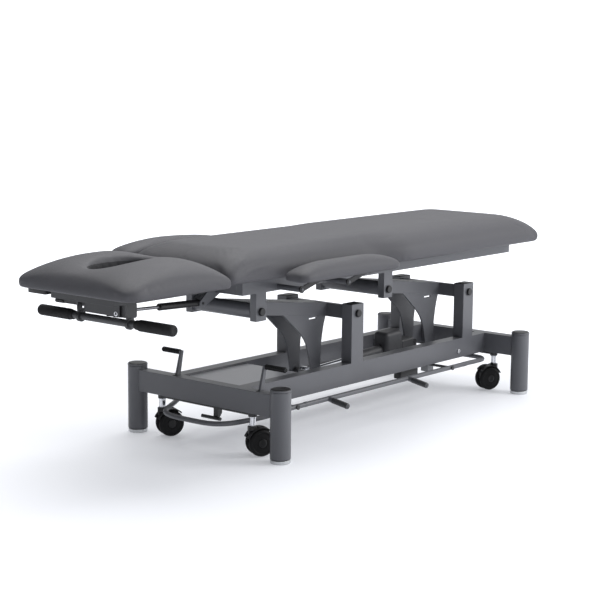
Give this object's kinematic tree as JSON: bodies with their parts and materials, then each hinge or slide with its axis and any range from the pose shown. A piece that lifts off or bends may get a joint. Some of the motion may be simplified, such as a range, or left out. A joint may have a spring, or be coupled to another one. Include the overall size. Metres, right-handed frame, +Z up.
{
  "type": "examination couch",
  "caption": "Height-adjustable examination couch with parallelogram lift, tilting head section with face opening, swing-over armrests, retractable castors and a foot bar.",
  "frame": {"origin": "centre of the bounding box on the floor", "axes": "+X from the head end to the foot end, +Y to the left of a person lying face up with the head at the head end, +Z up"},
  "size_m": [2.08, 0.682, 0.636],
  "materials": {
    "frame_paint": "satin",
    "black_plastic": "satin",
    "rubber_black": "matte",
    "disc_steel": "satin",
    "stem_chrome": "polished",
    "dark_steel": "satin",
    "board_black": "matte",
    "upholstery": "satin"
  },
  "bodies": {
    "base": {"post_head_right": "frame_paint", "post_head_left": "frame_paint", "post_foot_right": "frame_paint", "post_foot_left": "frame_paint", "cross_beam_head": "frame_paint", "cross_beam_foot": "frame_paint", "side_frame_left": "frame_paint", "side_frame_right": "frame_paint", "tray_plate": "frame_paint", "actuator_mount": "dark_steel"},
    "foot_disc_head_right": {"foot_disc_head_right": "disc_steel"},
    "foot_disc_head_left": {"foot_disc_head_left": "disc_steel"},
    "foot_disc_foot_right": {"foot_disc_foot_right": "disc_steel"},
    "foot_disc_foot_left": {"foot_disc_foot_left": "disc_steel"},
    "castor_carrier_head": {"castor_carrier_head": "stem_chrome"},
    "castor_carrier_foot": {"castor_carrier_foot": "stem_chrome"},
    "castor_fork_head_right": {"castor_fork_head_right": "black_plastic"},
    "castor_wheels_head_right": {"castor_wheels_head_right": "rubber_black"},
    "castor_fork_head_left": {"castor_fork_head_left": "black_plastic"},
    "castor_wheels_head_left": {"castor_wheels_head_left": "rubber_black"},
    "castor_fork_foot_right": {"castor_fork_foot_right": "black_plastic"},
    "castor_wheels_foot_right": {"castor_wheels_foot_right": "rubber_black"},
    "castor_fork_foot_left": {"castor_fork_foot_left": "black_plastic"},
    "castor_wheels_foot_left": {"castor_wheels_foot_left": "rubber_black"},
    "castor_levers": {"castor_levers": "dark_steel"},
    "foot_bar": {"foot_bar": "frame_paint"},
    "foot_bar_yoke_head": {"foot_bar_yoke_head": "dark_steel"},
    "foot_bar_yoke_foot": {"foot_bar_yoke_foot": "dark_steel"},
    "arm_head": {"arm_head_frame": "frame_paint", "arm_head_caps": "black_plastic", "arm_head_cranks": "frame_paint"},
    "arm_foot": {"arm_foot_frame": "frame_paint", "arm_foot_caps": "black_plastic", "arm_foot_cranks": "frame_paint"},
    "tie_rod": {"tie_rod": "dark_steel"},
    "actuator_body": {"actuator_body": "black_plastic"},
    "actuator_rod": {"actuator_rod": "stem_chrome"},
    "top_frame": {"rail_left": "frame_paint", "rail_right": "frame_paint", "head_cross_tube": "frame_paint", "main_board": "board_black", "main_cushion": "upholstery"},
    "head_section": {"head_frame": "dark_steel", "head_board": "board_black", "head_cushion": "upholstery", "handlebar": "frame_paint", "grip_left": "rubber_black", "grip_right": "rubber_black", "latch_box": "dark_steel"},
    "release_lever": {"release_lever": "dark_steel"},
    "gas_spring_cylinder": {"gas_spring_cylinder": "black_plastic"},
    "gas_spring_rod": {"gas_spring_rod": "stem_chrome"},
    "armrest_link_front_left": {"armrest_link_front_left": "dark_steel"},
    "armrest_link_rear_left": {"armrest_link_rear_left": "dark_steel"},
    "armrest_left": {"armrest_plate_left": "dark_steel", "armrest_pad_left": "upholstery"},
    "armrest_link_front_right": {"armrest_link_front_right": "dark_steel"},
    "armrest_link_rear_right": {"armrest_link_rear_right": "dark_steel"},
    "armrest_right": {"armrest_plate_right": "dark_steel", "armrest_pad_right": "upholstery"}
  },
  "joints": [
    {"name": "lift", "type": "hinge", "parent": "base", "child": "arm_head", "pos_m": [0.077, 0, 0.3755], "axis": [0, 1, 0], "range_deg": [-4, 38]},
    {"name": "lift_foot_arm", "type": "hinge", "parent": "base", "child": "arm_foot", "pos_m": [0.7313, 0, 0.3755], "axis": [0, 1, 0], "range_deg": [-4.1, 38.1]},
    {"name": "top_level", "type": "hinge", "parent": "arm_head", "child": "top_frame", "pos_m": [-0.39326, 0, 0.43491], "axis": [0, 1, 0], "range_deg": [-38.1, 4.1]},
    {"name": "tie_rod_pivot", "type": "hinge", "parent": "arm_head", "child": "tie_rod", "pos_m": [0, 0, 0.165], "axis": [0, 1, 0], "range_deg": [-38.1, 4.1]},
    {"name": "actuator_tilt", "type": "hinge", "parent": "base", "child": "actuator_body", "pos_m": [0.6, 0, 0.19], "axis": [0, 1, 0], "range_deg": [-0.88, 7.51]},
    {"name": "actuator_stroke", "type": "slide", "parent": "actuator_body", "child": "actuator_rod", "axis": [-0.9991, 0, -0.0416], "range_m": [-0.01307, 0.11988]},
    {"name": "head_tilt", "type": "hinge", "parent": "top_frame", "child": "head_section", "pos_m": [-0.628, 0, 0.538], "axis": [0, 1, 0], "range_deg": [-25, 30]},
    {"name": "gas_spring_tilt", "type": "hinge", "parent": "top_frame", "child": "gas_spring_cylinder", "pos_m": [-0.535, -0.02, 0.466], "axis": [0, 1, 0], "range_deg": [-17.35, 20.8]},
    {"name": "gas_spring_stroke", "type": "slide", "parent": "gas_spring_cylinder", "child": "gas_spring_rod", "axis": [-0.9992, 0, 0.04], "range_m": [-0.02755, 0.03296]},
    {"name": "release_squeeze", "type": "hinge", "parent": "head_section", "child": "release_lever", "pos_m": [-0.89, 0.012, 0.489], "axis": [0, 0, 1], "range_deg": [0, 5], "stiffness_Nm_per_rad": 3, "springref_deg": -2.86},
    {"name": "armrest_swing_right", "type": "hinge", "parent": "top_frame", "child": "armrest_link_front_right", "pos_m": [-0.31, -0.2425, 0.505], "axis": [0, -1, 0], "range_deg": [0, 123.4]},
    {"name": "armrest_rear_link_right", "type": "hinge", "parent": "top_frame", "child": "armrest_link_rear_right", "pos_m": [-0.075, -0.2425, 0.505], "axis": [0, -1, 0], "range_deg": [0, 123.5]},
    {"name": "armrest_level_right", "type": "hinge", "parent": "armrest_link_front_right", "child": "armrest_right", "pos_m": [-0.21089, -0.245, 0.53304], "axis": [0, -1, 0], "range_deg": [-123.5, 0]},
    {"name": "armrest_swing_left", "type": "hinge", "parent": "top_frame", "child": "armrest_link_front_left", "pos_m": [-0.31, 0.2425, 0.505], "axis": [0, -1, 0], "range_deg": [-123.4, 0]},
    {"name": "armrest_rear_link_left", "type": "hinge", "parent": "top_frame", "child": "armrest_link_rear_left", "pos_m": [-0.075, 0.2425, 0.505], "axis": [0, -1, 0], "range_deg": [-123.5, 0]},
    {"name": "armrest_level_left", "type": "hinge", "parent": "armrest_link_front_left", "child": "armrest_left", "pos_m": [-0.38797, 0.245, 0.5723], "axis": [0, -1, 0], "range_deg": [0, 123.5]},
    {"name": "castor_lever", "type": "hinge", "parent": "base", "child": "castor_levers", "pos_m": [-0.478, 0, 0.19], "axis": [0, 1, 0], "range_deg": [-30, 0]},
    {"name": "castor_drop_head", "type": "slide", "parent": "base", "child": "castor_carrier_head", "axis": [0, 0, -1], "range_m": [0, 0.0121]},
    {"name": "castor_drop_foot", "type": "slide", "parent": "base", "child": "castor_carrier_foot", "axis": [0, 0, -1], "range_m": [0, 0.0121]},
    {"name": "castor_swivel_head_right", "type": "hinge", "parent": "castor_carrier_head", "child": "castor_fork_head_right", "pos_m": [-0.481, -0.194, 0.09], "axis": [0, 0, 1], "continuous": true},
    {"name": "castor_roll_head_right", "type": "hinge", "parent": "castor_fork_head_right", "child": "castor_wheels_head_right", "pos_m": [-0.45893, -0.20574, 0.0445], "axis": [0.4695, 0.8829, 0], "continuous": true},
    {"name": "castor_swivel_head_left", "type": "hinge", "parent": "castor_carrier_head", "child": "castor_fork_head_left", "pos_m": [-0.481, 0.194, 0.09], "axis": [0, 0, 1], "continuous": true},
    {"name": "castor_roll_head_left", "type": "hinge", "parent": "castor_fork_head_left", "child": "castor_wheels_head_left", "pos_m": [-0.45834, 0.18343, 0.0445], "axis": [0.4226, 0.9063, 0], "continuous": true},
    {"name": "castor_swivel_foot_right", "type": "hinge", "parent": "castor_carrier_foot", "child": "castor_fork_foot_right", "pos_m": [0.863, -0.194, 0.09], "axis": [0, 0, 1], "continuous": true},
    {"name": "castor_roll_foot_right", "type": "hinge", "parent": "castor_fork_foot_right", "child": "castor_wheels_foot_right", "pos_m": [0.83999, -0.18423, 0.0445], "axis": [-0.3907, -0.9205, 0], "continuous": true},
    {"name": "castor_swivel_foot_left", "type": "hinge", "parent": "castor_carrier_foot", "child": "castor_fork_foot_left", "pos_m": [0.863, 0.194, 0.09], "axis": [0, 0, 1], "continuous": true},
    {"name": "castor_roll_foot_left", "type": "hinge", "parent": "castor_fork_foot_left", "child": "castor_wheels_foot_left", "pos_m": [0.83909, 0.20131, 0.0445], "axis": [-0.2924, -0.9563, 0], "continuous": true},
    {"name": "foot_bar_swing", "type": "hinge", "parent": "base", "child": "foot_bar_yoke_head", "pos_m": [-0.3, 0, 0.175], "axis": [0, 1, 0], "range_deg": [-8, 8], "stiffness_Nm_per_rad": 40},
    {"name": "foot_bar_rear_swing", "type": "hinge", "parent": "base", "child": "foot_bar_yoke_foot", "pos_m": [0.552, 0, 0.175], "axis": [0, 1, 0], "range_deg": [-8.1, 8.1]},
    {"name": "foot_bar_level", "type": "hinge", "parent": "foot_bar_yoke_head", "child": "foot_bar", "pos_m": [-0.3, 0, 0.1285], "axis": [0, 1, 0], "range_deg": [-8.1, 8.1]},
    {"name": "level_head_right", "type": "slide", "parent": "base", "child": "foot_disc_head_right", "axis": [0, 0, -1], "range_m": [0, 0.015]},
    {"name": "level_head_left", "type": "slide", "parent": "base", "child": "foot_disc_head_left", "axis": [0, 0, -1], "range_m": [0, 0.015]},
    {"name": "level_foot_right", "type": "slide", "parent": "base", "child": "foot_disc_foot_right", "axis": [0, 0, -1], "range_m": [0, 0.015]},
    {"name": "level_foot_left", "type": "slide", "parent": "base", "child": "foot_disc_foot_left", "axis": [0, 0, -1], "range_m": [0, 0.015]}
  ],
  "couplings": [
    {"joint": "lift_foot_arm", "follows": "lift", "ratio": 1},
    {"joint": "top_level", "follows": "lift", "ratio": -1},
    {"joint": "tie_rod_pivot", "follows": "lift", "ratio": -1},
    {"joint": "actuator_tilt", "follows": "lift", "ratio": 0.195},
    {"joint": "actuator_stroke", "follows": "lift", "m_per_rad": 0.18},
    {"joint": "gas_spring_tilt", "follows": "head_tilt", "ratio": 0.69},
    {"joint": "gas_spring_stroke", "follows": "head_tilt", "m_per_rad": 0.062},
    {"joint": "armrest_rear_link_right", "follows": "armrest_swing_right", "ratio": 1},
    {"joint": "armrest_level_right", "follows": "armrest_swing_right", "ratio": -1},
    {"joint": "armrest_rear_link_left", "follows": "armrest_swing_left", "ratio": 1},
    {"joint": "armrest_level_left", "follows": "armrest_swing_left", "ratio": -1},
    {"joint": "castor_drop_head", "follows": "castor_lever", "m_per_rad": -0.022918},
    {"joint": "castor_drop_foot", "follows": "castor_lever", "m_per_rad": -0.022918},
    {"joint": "foot_bar_rear_swing", "follows": "foot_bar_swing", "ratio": 1},
    {"joint": "foot_bar_level", "follows": "foot_bar_swing", "ratio": -1}
  ]
}
